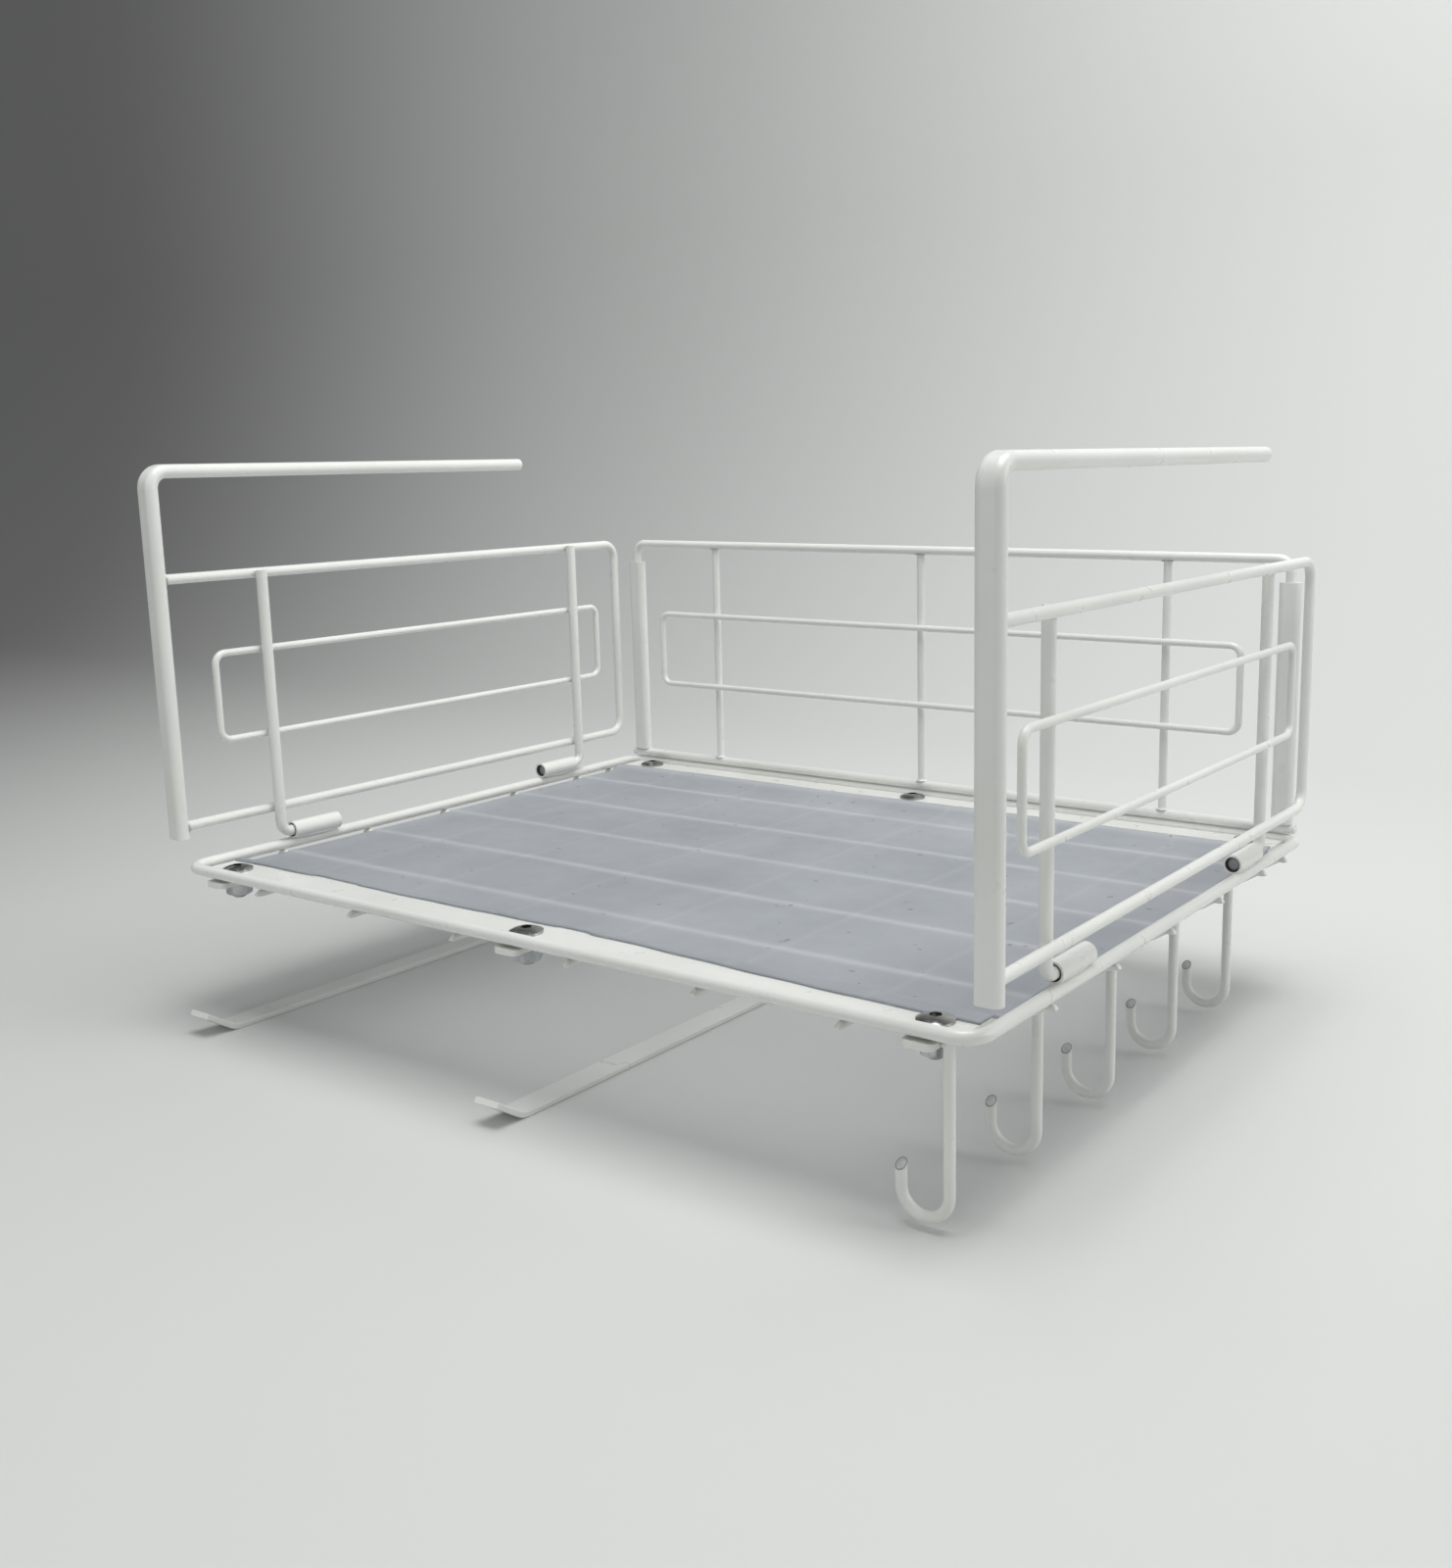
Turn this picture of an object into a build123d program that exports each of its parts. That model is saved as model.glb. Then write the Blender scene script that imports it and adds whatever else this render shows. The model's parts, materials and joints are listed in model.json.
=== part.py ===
"""Under-shelf wire rack with folding sides, a pull-off back and two board rails.

Millimetres, +Z up, +X to the right, +Y to the back. The rack is drawn about the middle
of its front rail and is moved at the end, so that the origin lies under the middle of
the whole rack, on the surface that it stands on.
"""

import os
from math import cos, radians, sin

from build123d import *

os.makedirs("parts", exist_ok=True)

# Driving dimensions
RACK_WIDTH = 400.0  # between the centre lines of the side rails
RACK_DEPTH = 300.0  # between the centre lines of the front and rear rails
STAND_HEIGHT = 70.0  # from the surface up to the centre plane of the base loop
FRAME_WIRE = 5.0  # base loop
GRID_WIRE = 3.0  # wires under the mat
RAIL_WIRE = 4.5  # outer wires of the side and back panels
LOOP_WIRE = 3.2  # inner decorative loops
ROD_WIRE = 5.0  # hinge rods
WELD = 0.15  # depth that two welded wires sink into each other

# Base loop, strips and grid
FRAME_CORNER = 9.0
STRIP_WIDTH = 20.0
STRIP_THICK = 3.0
STRIP_TOP = -0.4
STRIP_INSET = 2.0  # from the rail's centre line to the strip's welded edge
STRIP_MARGIN = 4.0
GRID_X = [-150.0, -90.0, -30.0, 30.0, 90.0, 150.0]
GRID_Y = [50.0, 100.0, 150.0, 200.0, 250.0, 277.0]
GRID_RAMP = 6.0  # length over which a cross wire climbs to the side rail
GRID_END = 2.0
GRID_PROUD = 0.5  # a cross wire ends this far past the side rail's centre line
GRID_SHORT = 0.5  # a long wire ends this far inside the front or rear rail's centre line
GRID_BEND = 2.5
MAT_THICK = 0.9
MAT_GAP = 0.15
MAT_STRIP_GAP = 1.0
MAT_MARGIN = 4.0  # from the inner edge of a side rail to the edge of the mat

# Bolted bars under the base
BAR_WIDTH = 12.0
BAR_THICK = 2.4
BAR_EDGE = 0.5
BAR_LUG = 3.0  # how far a bar reaches past the front rail's centre line
BAR_CORNER = 3.0
BAR_BEND = 7.0
BOARD_RAIL_X = {"board_rail_left": -178.0, "board_rail_middle": 0.0}
HOOK_BAR_X = 180.0
TIP_LENGTH = 16.0
TIP_ANGLE = 34.0
TIP_BEND = 9.0
LOWER_LEG_START = -2.0

# Hooks
HOOK_WIRE = 4.0
HOOK_Y = [5.0, 65.0, 125.0, 185.0, 245.0]
HOOK_BEND = 9.0
HOOK_LOWEST = -67.1
HOOK_TIP_RISE = 5.5
HOOK_TOP_GAP = 0.2

# Bolts and nuts
BOLT_INSET = 9.8
BOLT_SHANK = 5.8
BOLT_HOLE = 6.4
HEAD_WIDE = 13.0
HEAD_EDGE = 1.0
HEAD_HIGH = 2.4
DOME_OUT = 0.62  # the dome passes through this share of its half width
DOME_UP = 0.85  # and this share of its height
SOCKET = 4.0
SOCKET_DEEP = 1.7
NUT_FLATS = 10.0
NUT_HIGH = 5.0
NUT_BORE = 6.0
SHANK_PROUD = 1.6
SHANK_CHAMFER = 0.6
NUT_CORNER = 0.56  # radius of the nut's turned corners, as a share of its width
NUT_CHAMFER = 0.5

# Hinges of the side panels
HINGE_X = 198.5
HINGE_Z = 6.2
TUBE_OUTER = 8.0
TUBE_BORE = 6.4
TUBE_LENGTH = 26.0
FRONT_ROD_Y = 49.0
ROD_BEND = 5.0
ROD_PLAY = 0.5  # gap between a rod's bend and the mouth of its tube
PIN_REACH = 24.0

# Side panels
POST_WIDE = 10.0
POST_THICK = 6.0
POST_BEND = 7.5
POST_FOOT = 12.6
POST_OFFSET = 1.4  # the post stands this far outboard of the rails welded to it
ARM_HEIGHT = 173.5
ARM_END = 218.0
TOP_RAIL = 127.3
BOTTOM_RAIL = 17.8
SIDE_REAR = 291.5
SIDE_CORNER = 8.0
LOOP_Y = (24.0, 273.6)
LOOP_Z = (53.3, 92.6)
LOOP_CORNER = 5.0
ROD_TOP = 128.6

# Back panel
BACK_Y = 299.5
BACK_TOP = 127.3
BACK_BOTTOM = 5.05
BACK_WIRE_HALF = 198.5
BACK_POST_X = 192.0
BACK_CORNER = 6.0
BACK_POST_TOP = 117.0
BACK_UPRIGHTS = [-134.0, 0.0, 134.0]
UPRIGHT_WIRE = 4.0
BACK_LOOP_X = 171.4
BACK_LOOP_Z = (47.9, 87.8)

# Heights that follow from the driving dimensions
FRAME_R = FRAME_WIRE / 2
GRID_R = GRID_WIRE / 2
RAIL_R = RAIL_WIRE / 2
ROD_R = ROD_WIRE / 2
LOOP_R = LOOP_WIRE / 2
STRIP_UNDER = STRIP_TOP - STRIP_THICK
BAR_TOP = STRIP_UNDER
LONG_WIRE_Z = STRIP_UNDER - GRID_R + WELD
CROSS_WIRE_Z = LONG_WIRE_Z - GRID_WIRE + WELD
CROSS_END_Z = -FRAME_R - GRID_R + WELD
LOWER_LEG_Z = -STAND_HEIGHT + BAR_THICK / 2
REAR_BOLT_Y = RACK_DEPTH - BOLT_INSET
PANEL_X = HINGE_X + ROD_R + RAIL_R - WELD
LOOP_X = HINGE_X + ROD_R + LOOP_R - WELD
POST_X = PANEL_X + POST_OFFSET

parts = {}


def bent_wire(points, radius, bend, closed=False):
    """Round wire along straight runs joined by arcs of one bend radius."""
    if len(points) > 2:
        path = FilletPolyline(*points, radius=bend, close=closed)
    else:
        path = Line(*points)
    section = Plane(origin=path @ 0, z_dir=path % 0) * Circle(radius)
    return sweep(section, path=path)


def flat_bar(points, bends):
    """Flat bar with rounded edges, its wide face across X, bent the easy way in YZ."""
    path = FilletPolyline(*points, radius=bends) if bends else Line(*points)
    face = Plane(origin=path @ 0, x_dir=(1, 0, 0), z_dir=path % 0)
    return sweep(face * RectangleRounded(BAR_WIDTH, BAR_THICK, BAR_EDGE), path=path)


def wire_loop(corner_a, corner_b, radius, bend, plane):
    """Closed rectangle of wire with rounded corners, drawn in the given plane."""
    low_u, low_v = corner_a
    high_u, high_v = corner_b
    mid_u = (low_u + high_u) / 2
    corners = [(mid_u, low_v), (high_u, low_v), (high_u, high_v), (mid_u, high_v)]
    halves = []
    for side in (1, -1):
        flat = [(mid_u + side * (u - mid_u), v) for u, v in corners]
        halves.append(bent_wire([plane(u, v) for u, v in flat], radius, bend))
    return halves[0] + halves[1]


def mirrored(shape):
    """The left-hand twin of a right-hand piece."""
    return mirror(shape, about=Plane.YZ)


def rounded_lug(bar, x, front, top):
    """Rounds the two free corners of a flat bar's front end, seen from above."""
    half = BAR_WIDTH / 2
    for side in (-1, 1):
        corner = Pos(x + side * half, front, top - BAR_THICK / 2)
        inner = Pos(x + side * (half - BAR_CORNER), front + BAR_CORNER, top - BAR_THICK / 2)
        block = corner * Box(2 * BAR_CORNER, 2 * BAR_CORNER, BAR_THICK * 2)
        bar -= block - inner * Cylinder(BAR_CORNER, BAR_THICK * 3)
    return bar


def bolt_holes(plate, spots, z):
    """Clears a bolt through a strip or a bar at each spot."""
    for x, y in spots:
        plate -= Pos(x, y, z) * Cylinder(BOLT_HOLE / 2, 4 * BAR_THICK)
    return plate


def base_loop():
    half = RACK_WIDTH / 2
    return wire_loop((-half, 0), (half, RACK_DEPTH), FRAME_R, FRAME_CORNER, lambda u, v: (u, v, 0))


def base_strip(y_inner, bolt_y):
    """Flat strip welded along the inside of the front or rear rail."""
    length = RACK_WIDTH - 2 * FRAME_R - 2 * STRIP_MARGIN
    strip = Pos(0, y_inner, STRIP_TOP - STRIP_THICK / 2) * Box(length, STRIP_WIDTH, STRIP_THICK)
    spots = [(x, bolt_y) for x in bolt_columns()]
    return bolt_holes(strip, spots, STRIP_TOP)


def bolt_columns():
    return [*BOARD_RAIL_X.values(), HOOK_BAR_X]


def long_wire(x):
    """Front-to-back grid wire, welded under both strips."""
    ends = [(x, GRID_SHORT, LONG_WIRE_Z), (x, RACK_DEPTH - GRID_SHORT, LONG_WIRE_Z)]
    return bent_wire(ends, GRID_R, 0)


def cross_wire(y):
    """Side-to-side grid wire, its ends turned up to the undersides of the side rails."""
    end = RACK_WIDTH / 2 + GRID_PROUD
    flat = end - GRID_END
    dip = flat - GRID_RAMP
    points = [(-end, y, CROSS_END_Z), (-flat, y, CROSS_END_Z), (-dip, y, CROSS_WIRE_Z)]
    points += [(-x, y, z) for x, y, z in reversed(points)]
    return bent_wire(points, GRID_R, GRID_BEND)


def mat():
    """Loose plastic sheet that lies on the grid, between the two strips."""
    clear = STRIP_INSET + STRIP_WIDTH + MAT_STRIP_GAP
    wide = RACK_WIDTH - 2 * FRAME_R - 2 * MAT_MARGIN
    deep = RACK_DEPTH - 2 * clear
    low = BAR_TOP + MAT_GAP
    return Pos(0, RACK_DEPTH / 2, low + MAT_THICK / 2) * Box(wide, deep, MAT_THICK)


def board_rail(x):
    """Bar bent to a long U on its side, with a turned-up tip on the lower leg."""
    top = BAR_TOP - BAR_THICK / 2
    rear = RACK_DEPTH + FRAME_R - BAR_THICK / 2
    tip_y = LOWER_LEG_START - TIP_LENGTH * cos(radians(TIP_ANGLE))
    tip_z = LOWER_LEG_Z + TIP_LENGTH * sin(radians(TIP_ANGLE))
    points = [(x, -BAR_LUG, top), (x, rear, top), (x, rear, LOWER_LEG_Z)]
    points += [(x, LOWER_LEG_START, LOWER_LEG_Z), (x, tip_y, tip_z)]
    bar = flat_bar(points, [BAR_BEND, BAR_BEND, TIP_BEND])
    bar = rounded_lug(bar, x, -BAR_LUG, BAR_TOP)
    return bolt_holes(bar, [(x, BOLT_INSET), (x, REAR_BOLT_Y)], BAR_TOP)


def hook_bar():
    """Straight bar under the right side of the base that carries the hooks."""
    z = BAR_TOP - BAR_THICK / 2
    x = HOOK_BAR_X
    bar = flat_bar([(x, -BAR_LUG, z), (x, RACK_DEPTH, z)], None)
    bar = rounded_lug(bar, x, -BAR_LUG, BAR_TOP)
    return bolt_holes(bar, [(x, BOLT_INSET), (x, REAR_BOLT_Y)], BAR_TOP)


def hook(y):
    """J-shaped wire hook, welded to the outer edge of the hook bar, mouth to the left."""
    stem_x = HOOK_BAR_X + BAR_WIDTH / 2 + HOOK_WIRE / 2 - WELD
    tip_x = stem_x - 2 * HOOK_BEND
    low = HOOK_LOWEST + HOOK_WIRE / 2
    stem_top = BAR_TOP - HOOK_TOP_GAP
    tip_top = low + HOOK_BEND + HOOK_TIP_RISE
    points = [(stem_x, y, stem_top), (stem_x, y, low), (tip_x, y, low), (tip_x, y, tip_top)]
    return bent_wire(points, HOOK_WIRE / 2, HOOK_BEND - 0.01)


def bolt(x, y):
    """Low domed bolt with a hexagon socket, its shank down through strip, bar and nut."""
    half = HEAD_WIDE / 2
    dome = Polyline((0, 0), (half, 0), (half, HEAD_EDGE))
    dome += ThreePointArc((half, HEAD_EDGE), (half * DOME_OUT, HEAD_HIGH * DOME_UP), (0, HEAD_HIGH))
    dome += Line((0, HEAD_HIGH), (0, 0))
    head = revolve(Plane.XZ * make_face(dome), axis=Axis.Z)
    key = extrude(RegularPolygon(SOCKET / 2, 6, major_radius=False), amount=SOCKET_DEEP * 2)
    head -= Pos(0, 0, HEAD_HIGH - SOCKET_DEEP) * key
    length = STRIP_THICK + BAR_THICK + NUT_HIGH + SHANK_PROUD
    shank = Pos(0, 0, -length / 2) * Cylinder(BOLT_SHANK / 2, length)
    end = shank.edges().sort_by(Axis.Z)[0]
    return Pos(x, y, STRIP_TOP) * (head + chamfer(end, SHANK_CHAMFER))


def nut(x, y):
    """Hexagon nut against the underside of the bar, its corners chamfered."""
    body = extrude(RegularPolygon(NUT_FLATS / 2, 6, major_radius=False), amount=-NUT_HIGH)
    barrel = Pos(0, 0, -NUT_HIGH / 2) * Cylinder(NUT_FLATS * NUT_CORNER, NUT_HIGH)
    body &= chamfer(barrel.edges().filter_by(GeomType.CIRCLE), NUT_CHAMFER)
    body -= Cylinder(NUT_BORE / 2, NUT_HIGH * 3)
    return Pos(x, y, BAR_TOP - BAR_THICK) * body


def hinge_tube(front):
    """Short tube welded on top of the side rail, open at both ends."""
    y = front + TUBE_LENGTH / 2
    tube = Cylinder(TUBE_OUTER / 2, TUBE_LENGTH) - Cylinder(TUBE_BORE / 2, TUBE_LENGTH * 2)
    return Pos(HINGE_X, y, HINGE_Z) * (Rot(90, 0, 0) * tube)


def hinge_rod(rod_y, inward):
    """Upright rod of a side panel, its foot bent round into the hinge pin."""
    pin_end = rod_y + inward * (ROD_BEND + ROD_PLAY + PIN_REACH)
    points = [(HINGE_X, rod_y, ROD_TOP), (HINGE_X, rod_y, HINGE_Z), (HINGE_X, pin_end, HINGE_Z)]
    return bent_wire(points, ROD_R, ROD_BEND)


def side_post():
    """Flat-oval front post, bent at the top into the arm that lies on the shelf board."""
    corner = [(POST_X, 0, POST_FOOT), (POST_X, 0, ARM_HEIGHT), (POST_X, ARM_END, ARM_HEIGHT)]
    path = FilletPolyline(*corner, radius=POST_BEND)
    face = Plane(origin=path @ 0, x_dir=(1, 0, 0), z_dir=path % 0)
    return sweep(face * SlotOverall(POST_WIDE, POST_THICK), path=path)


def side_outer_wire():
    """Top rail, rear upright and bottom rail in one wire, butted to the back of the post."""
    front = POST_THICK / 2 - WELD
    points = [(PANEL_X, front, TOP_RAIL), (PANEL_X, SIDE_REAR, TOP_RAIL)]
    points += [(PANEL_X, SIDE_REAR, BOTTOM_RAIL), (PANEL_X, front, BOTTOM_RAIL)]
    return bent_wire(points, RAIL_R, SIDE_CORNER)


def side_inner_loop():
    low = (LOOP_Y[0], LOOP_Z[0])
    high = (LOOP_Y[1], LOOP_Z[1])
    return wire_loop(low, high, LOOP_R, LOOP_CORNER, lambda u, v: (LOOP_X, u, v))


def back_top_wire():
    """Top wire of the back panel, its ends turned down onto the end posts."""
    x = BACK_POST_X
    foot = BACK_POST_TOP - WELD
    points = [(-x, BACK_Y, foot), (-x, BACK_Y, BACK_TOP), (x, BACK_Y, BACK_TOP), (x, BACK_Y, foot)]
    return bent_wire(points, RAIL_R, BACK_CORNER)


def back_bottom_wire():
    ends = [(-BACK_WIRE_HALF, BACK_Y, BACK_BOTTOM), (BACK_WIRE_HALF, BACK_Y, BACK_BOTTOM)]
    return bent_wire(ends, RAIL_R, 0)


def back_end_post():
    """Flat-oval end post between the bottom wire and the turned-down top wire."""
    foot = BACK_BOTTOM + RAIL_R - WELD
    section = Pos(BACK_POST_X, BACK_Y, foot) * SlotOverall(POST_WIDE, POST_THICK)
    return extrude(section, amount=BACK_POST_TOP - foot)


def back_upright(x):
    foot = BACK_BOTTOM + RAIL_R - WELD
    head = BACK_TOP - RAIL_R + WELD
    return bent_wire([(x, BACK_Y, foot), (x, BACK_Y, head)], UPRIGHT_WIRE / 2, 0)


def back_inner_loop():
    y = BACK_Y - UPRIGHT_WIRE / 2 - LOOP_R + WELD
    low = (-BACK_LOOP_X, BACK_LOOP_Z[0])
    high = (BACK_LOOP_X, BACK_LOOP_Z[1])
    return wire_loop(low, high, LOOP_R, LOOP_CORNER, lambda u, v: (u, y, v))


# Base
parts["base_loop"] = base_loop()
strip_centre = STRIP_INSET + STRIP_WIDTH / 2
parts["front_strip"] = base_strip(strip_centre, BOLT_INSET)
parts["rear_strip"] = base_strip(RACK_DEPTH - strip_centre, REAR_BOLT_Y)
for number, x in enumerate(GRID_X, 1):
    parts[f"long_wire_{number}"] = long_wire(x)
for number, y in enumerate(GRID_Y, 1):
    parts[f"cross_wire_{number}"] = cross_wire(y)
parts["mat"] = mat()
for name, x in BOARD_RAIL_X.items():
    parts[name] = board_rail(x)
parts["hook_bar"] = hook_bar()
for number, y in enumerate(HOOK_Y, 1):
    parts[f"hook_{number}"] = hook(y)
bolt_spots = [(x, y) for x in bolt_columns() for y in (BOLT_INSET, REAR_BOLT_Y)]
parts["bolts"] = Compound(children=[bolt(x, y) for x, y in bolt_spots])
parts["nuts"] = Compound(children=[nut(x, y) for x, y in bolt_spots])

# Hinge tubes and side panels, right and left
front_mouth = FRONT_ROD_Y + ROD_BEND + ROD_PLAY
rear_rod_y = RACK_DEPTH - FRONT_ROD_Y
rear_mouth = rear_rod_y - ROD_BEND - ROD_PLAY
right_hand = {
    "hinge_tube_front": hinge_tube(front_mouth),
    "hinge_tube_rear": hinge_tube(rear_mouth - TUBE_LENGTH),
    "post": side_post(),
    "outer_wire": side_outer_wire(),
    "inner_loop": side_inner_loop(),
    "front_hinge_rod": hinge_rod(FRONT_ROD_Y, 1),
    "rear_hinge_rod": hinge_rod(rear_rod_y, -1),
}
for name, shape in right_hand.items():
    parts[f"right_{name}"] = shape
    parts[f"left_{name}"] = mirrored(shape)

# Back panel
parts["back_top_wire"] = back_top_wire()
parts["back_bottom_wire"] = back_bottom_wire()
parts["back_inner_loop"] = back_inner_loop()
parts["back_post_right"] = back_end_post()
parts["back_post_left"] = mirrored(parts["back_post_right"])
for number, x in enumerate(BACK_UPRIGHTS, 1):
    parts[f"back_upright_{number}"] = back_upright(x)

# The origin goes under the middle of the whole rack
whole = Compound(children=[Compound(shape.solids()) for shape in parts.values()]).bounding_box()
shift = Pos(-whole.center().X, -whole.center().Y, STAND_HEIGHT)
for name, shape in parts.items():
    export_step(shift * shape, f"parts/{name}.step")
hinge = shift * Pos(HINGE_X, RACK_DEPTH / 2, HINGE_Z)
print("box", whole.size, "shift", shift.position, "hinge", hinge.position)
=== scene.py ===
"""Under-shelf wire rack: white coated wire, folding sides, a lift-out back, a mat and hooks."""

import json
from math import pi, radians

import bpy
import numpy as np
from mathutils import Matrix, Vector


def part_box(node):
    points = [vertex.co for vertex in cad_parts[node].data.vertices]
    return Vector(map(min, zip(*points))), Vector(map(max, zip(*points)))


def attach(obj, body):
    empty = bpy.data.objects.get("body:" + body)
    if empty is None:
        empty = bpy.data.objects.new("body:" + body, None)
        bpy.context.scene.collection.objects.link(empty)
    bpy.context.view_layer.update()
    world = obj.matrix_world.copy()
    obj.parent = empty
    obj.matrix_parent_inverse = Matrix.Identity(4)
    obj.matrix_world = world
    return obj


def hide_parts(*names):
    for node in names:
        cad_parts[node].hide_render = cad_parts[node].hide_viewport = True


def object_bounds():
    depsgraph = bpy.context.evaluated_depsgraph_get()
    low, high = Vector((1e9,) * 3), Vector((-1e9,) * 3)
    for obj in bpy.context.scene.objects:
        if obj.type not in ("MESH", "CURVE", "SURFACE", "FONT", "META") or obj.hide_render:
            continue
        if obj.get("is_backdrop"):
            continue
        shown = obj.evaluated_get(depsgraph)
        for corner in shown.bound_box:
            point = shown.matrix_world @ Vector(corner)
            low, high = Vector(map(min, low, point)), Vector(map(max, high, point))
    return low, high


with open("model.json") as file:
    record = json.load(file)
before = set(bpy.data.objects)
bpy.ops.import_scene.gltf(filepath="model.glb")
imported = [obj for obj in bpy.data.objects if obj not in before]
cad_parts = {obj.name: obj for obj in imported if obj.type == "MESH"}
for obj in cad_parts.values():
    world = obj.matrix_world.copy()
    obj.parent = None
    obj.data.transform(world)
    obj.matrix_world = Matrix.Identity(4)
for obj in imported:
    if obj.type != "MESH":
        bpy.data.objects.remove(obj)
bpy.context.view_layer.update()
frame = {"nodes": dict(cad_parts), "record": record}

# ---------------------------------------------------------------------------
# Base loop, strips, bars and every other white steel piece
# Low-carbon steel wire, tube and flat bar, spot welded, then dipped in white
# polyester powder and baked: a satin skin with a fine orange peel.
# ---------------------------------------------------------------------------

COAT_WHITE = (0.78, 0.79, 0.755, 1.0)
COAT_SHADE = (0.735, 0.745, 0.705, 1.0)
COAT_CLOUDS = 22.0  # colour clouds per metre
COAT_ROUGHNESS = (0.27, 0.4)
GLOSS_CLOUDS = 140.0  # gloss clouds per metre
CLEAR_WEIGHT = 0.25
CLEAR_ROUGHNESS = 0.18
PEEL_GRAIN = 620.0  # orange peel cells per metre
PEEL_DEPTH = 0.000012
PEEL_STRENGTH = 0.35
NOISE_LOW = 0.3  # nearly all of a noise's values lie between these two
NOISE_HIGH = 0.7


def new_material(name):
    """An empty node material: its tree, its shader and a link function."""
    material = bpy.data.materials.new(name)
    material.use_nodes = True
    tree = material.node_tree
    return material, tree, tree.nodes["Principled BSDF"], tree.links.new


def object_noise(tree, scale, detail=2.0, roughness=0.5, stretch=(1.0, 1.0, 1.0)):
    """Noise on object coordinates, in cells per metre, stretched along the axes."""
    place = tree.nodes.new("ShaderNodeTexCoord")
    turn = tree.nodes.new("ShaderNodeMapping")
    turn.inputs["Scale"].default_value = stretch
    noise = tree.nodes.new("ShaderNodeTexNoise")
    noise.inputs["Scale"].default_value = scale
    noise.inputs["Detail"].default_value = detail
    noise.inputs["Roughness"].default_value = roughness
    tree.links.new(place.outputs["Object"], turn.inputs["Vector"])
    tree.links.new(turn.outputs["Vector"], noise.inputs["Vector"])
    return noise.outputs["Fac"]


def blend_colours(tree, factor, low, high, start=0.35, stop=0.65):
    """A colour that runs from low to high as the factor runs from start to stop."""
    ramp = tree.nodes.new("ShaderNodeValToRGB")
    ramp.color_ramp.elements[0].position = start
    ramp.color_ramp.elements[0].color = low
    ramp.color_ramp.elements[1].position = stop
    ramp.color_ramp.elements[1].color = high
    tree.links.new(factor, ramp.inputs["Fac"])
    return ramp.outputs["Color"]


def spread(tree, factor, low, high):
    """The factor's middle range, spread from low to high."""
    scale = tree.nodes.new("ShaderNodeMapRange")
    scale.inputs["From Min"].default_value = NOISE_LOW
    scale.inputs["From Max"].default_value = NOISE_HIGH
    scale.inputs["To Min"].default_value = low
    scale.inputs["To Max"].default_value = high
    tree.links.new(factor, scale.inputs["Value"])
    return scale.outputs["Result"]


def bumped(tree, height, depth, strength):
    """A normal tilted by a height that runs from 0 to depth metres."""
    bump = tree.nodes.new("ShaderNodeBump")
    bump.inputs["Strength"].default_value = strength
    bump.inputs["Distance"].default_value = depth
    tree.links.new(height, bump.inputs["Height"])
    return bump.outputs["Normal"]


def powder_coat():
    """Satin white powder coat: faint clouds in its colour and gloss, and an orange peel."""
    material, tree, shader, link = new_material("powder_coat")
    clouds = object_noise(tree, COAT_CLOUDS, detail=4.0)
    link(blend_colours(tree, clouds, COAT_SHADE, COAT_WHITE), shader.inputs["Base Color"])
    gloss = object_noise(tree, GLOSS_CLOUDS)
    link(spread(tree, gloss, *COAT_ROUGHNESS), shader.inputs["Roughness"])
    peel = object_noise(tree, PEEL_GRAIN, detail=1.0)
    link(bumped(tree, peel, PEEL_DEPTH, PEEL_STRENGTH), shader.inputs["Normal"])
    shader.inputs["Coat Weight"].default_value = CLEAR_WEIGHT
    shader.inputs["Coat Roughness"].default_value = CLEAR_ROUGHNESS
    return material


def finish_nodes(names, material):
    """Gives CAD nodes one finish all over."""
    for name in names:
        node = frame["nodes"][name]
        node.data.materials.clear()
        node.data.materials.append(material)


slots = {part["node"]: part["material_slot"] for part in frame["record"]["subparts"]}
white_coat = powder_coat()
finish_nodes([n for n, s in slots.items() if s == "white_powder_coat"], white_coat)

# ---------------------------------------------------------------------------
# Welds of the grid, the strips and the hooks
# Wires that cross are resistance welded and sink a little into each other;
# powder fills the crevice round each spot with a small smooth fillet.
# ---------------------------------------------------------------------------

BEAD_ROWS = 10
BEAD_TURNS = 20
BEAD_REACH = 0.48 * pi
COLLAR_ROWS = 7
COLLAR_SLACK = 1.01  # a collar's top stands this many wire radii out


def grid_faces(rows, columns, wrap):
    """Quads between the rows of a grid; wrap joins its last column to its first."""
    last = columns if wrap else columns - 1
    row, column = np.meshgrid(np.arange(rows - 1), np.arange(last), indexing="ij")
    after = (column + 1) % columns
    corners = [row * columns + column, row * columns + after]
    corners += [(row + 1) * columns + after, (row + 1) * columns + column]
    return np.stack([c.ravel() for c in corners], axis=1)


def new_piece(name, points, faces, material, body, slot, smooth=True):
    """A mesh from arrays of points and faces, riding on a body and given the material; the slot is not
    used.
    """
    mesh = bpy.data.meshes.new(name)
    mesh.from_pydata(np.asarray(points).tolist(), [], [list(map(int, f)) for f in faces])
    mesh.update()
    mesh.polygons.foreach_set("use_smooth", [smooth] * len(mesh.polygons))
    mesh.materials.append(material)
    piece = bpy.data.objects.new(name, mesh)
    bpy.context.scene.collection.objects.link(piece)
    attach(piece, body)
    return piece


def joined(shells):
    """Several (points, faces) shells as one pair of arrays."""
    points = []
    faces = []
    count = 0
    for shell_points, shell_faces in shells:
        points.append(shell_points)
        faces += [tuple(int(i) + count for i in face) for face in shell_faces]
        count += len(shell_points)
    return np.concatenate(points), faces


def closed_grid(surface, rows, columns):
    """A wrapped grid of points, closed at both ends by one face each, facing outwards."""
    faces = [tuple(f) for f in grid_faces(rows, columns, wrap=True)]
    first = tuple(reversed(range(columns)))
    last = tuple((rows - 1) * columns + i for i in range(columns))
    return surface.reshape(-1, 3), faces + [first, last]


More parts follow.
